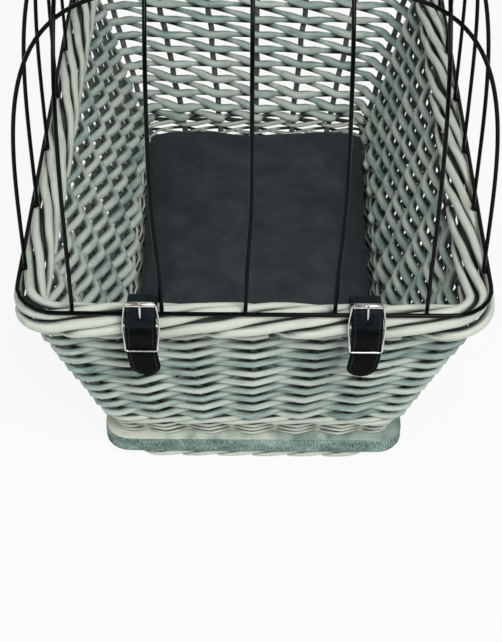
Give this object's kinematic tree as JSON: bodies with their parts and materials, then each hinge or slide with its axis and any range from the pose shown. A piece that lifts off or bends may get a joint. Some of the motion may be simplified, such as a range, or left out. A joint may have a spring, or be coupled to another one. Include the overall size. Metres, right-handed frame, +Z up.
{
  "type": "dog bicycle basket",
  "caption": "Long woven willow basket on a base board, with a fabric cushion, a hinged wire hood over it and leather straps with roller buckles that hold the hood shut.",
  "frame": {"origin": "on the surface that the foot border stands on, under the middle of the basket's box", "axes": "+Z up, +Y from the buckled front end towards the hinged rear end, +X to the right seen from the front end"},
  "size_m": [0.3488, 0.5634, 0.4897],
  "materials": {
    "board": "grey-stained board with a rough sawn edge",
    "cream_willow": "pale cream washed willow, matt",
    "washed_willow": "grey-green washed willow, matt, streaky along the rod",
    "dark_fabric": "charcoal soft-napped cloth",
    "black_wire": "gloss black coated steel wire",
    "black_leather": "smooth black leather with edge stitching",
    "nickel": "bright nickel-plated steel wire"
  },
  "bodies": {
    "basket": {"base_board": "board", "foot_border": "cream_willow", "stake_frame": "washed_willow", "upsett_band": "cream_willow", "base_wale": "cream_willow", "weave_course_1": "washed_willow", "weave_course_2": "washed_willow", "weave_course_3": "washed_willow", "weave_course_4": "washed_willow", "weave_course_5": "washed_willow", "weave_course_6": "washed_willow", "weave_course_7": "washed_willow", "weave_course_8": "washed_willow", "weave_course_9": "washed_willow", "weave_course_10": "washed_willow", "weave_course_11": "washed_willow", "weave_course_12": "washed_willow", "weave_course_13": "washed_willow", "weave_course_14": "washed_willow", "weave_course_15": "washed_willow", "weave_course_16": "washed_willow", "weave_course_17": "washed_willow", "weave_course_18": "washed_willow", "border_rod_outer_low": "cream_willow", "border_rod_outer_mid": "cream_willow", "border_rod_outer_top": "cream_willow", "border_rod_inner_top": "cream_willow", "border_rod_inner_low": "cream_willow", "cushion": "dark_fabric", "left_strap": "black_leather", "right_strap": "black_leather", "left_buckle_frame": "nickel", "right_buckle_frame": "nickel", "left_hinge_loop": "black_leather", "right_hinge_loop": "black_leather"},
    "hood": {"hood_perimeter_wire": "black_wire", "hood_rib_1": "black_wire", "hood_rib_2": "black_wire", "hood_rib_3": "black_wire", "hood_rib_4": "black_wire", "hood_rib_5": "black_wire", "hood_hoop_1": "black_wire", "hood_hoop_2": "black_wire", "hood_hoop_3": "black_wire", "hood_hoop_4": "black_wire", "hood_hoop_5": "black_wire", "hood_hoop_6": "black_wire", "hood_hoop_7": "black_wire"},
    "left_tongue": {"left_strap_tongue": "black_leather"},
    "right_tongue": {"right_strap_tongue": "black_leather"},
    "left_roller": {"left_buckle_roller": "nickel"},
    "right_roller": {"right_buckle_roller": "nickel"},
    "left_prong": {"left_buckle_prong": "nickel"},
    "right_prong": {"right_buckle_prong": "nickel"}
  },
  "joints": [
    {"name": "hood_hinge", "type": "hinge", "parent": "basket", "child": "hood", "pos_m": [0, 0.27397, 0.21493], "axis": [-1, 0, 0], "range_deg": [0, 120]},
    {"name": "left_tongue_bend", "type": "hinge", "parent": "basket", "child": "left_tongue", "pos_m": [-0.079, -0.24107, 0.206], "axis": [-1, 0, 0], "range_deg": [0, 66], "deforming": ["left_strap_tongue"]},
    {"name": "right_tongue_bend", "type": "hinge", "parent": "basket", "child": "right_tongue", "pos_m": [0.079, -0.24107, 0.206], "axis": [-1, 0, 0], "range_deg": [0, 66], "deforming": ["right_strap_tongue"]},
    {"name": "left_prong_turn", "type": "hinge", "parent": "basket", "child": "left_prong", "pos_m": [-0.079, -0.27473, 0.212], "axis": [1, 0, 0], "range_deg": [0, 60]},
    {"name": "right_prong_turn", "type": "hinge", "parent": "basket", "child": "right_prong", "pos_m": [0.079, -0.27473, 0.212], "axis": [1, 0, 0], "range_deg": [0, 60]},
    {"name": "left_roller_spin", "type": "hinge", "parent": "basket", "child": "left_roller", "pos_m": [-0.079, -0.27229, 0.22933], "axis": [1, 0, 0], "continuous": true},
    {"name": "right_roller_spin", "type": "hinge", "parent": "basket", "child": "right_roller", "pos_m": [0.079, -0.27229, 0.22933], "axis": [1, 0, 0], "continuous": true}
  ],
  "couplings": [
    {"joint": "left_tongue_bend", "follows": "hood_hinge", "ratio": 0.55},
    {"joint": "right_tongue_bend", "follows": "hood_hinge", "ratio": 0.55},
    {"joint": "left_prong_turn", "follows": "hood_hinge", "ratio": 0.5},
    {"joint": "right_prong_turn", "follows": "hood_hinge", "ratio": 0.5}
  ]
}
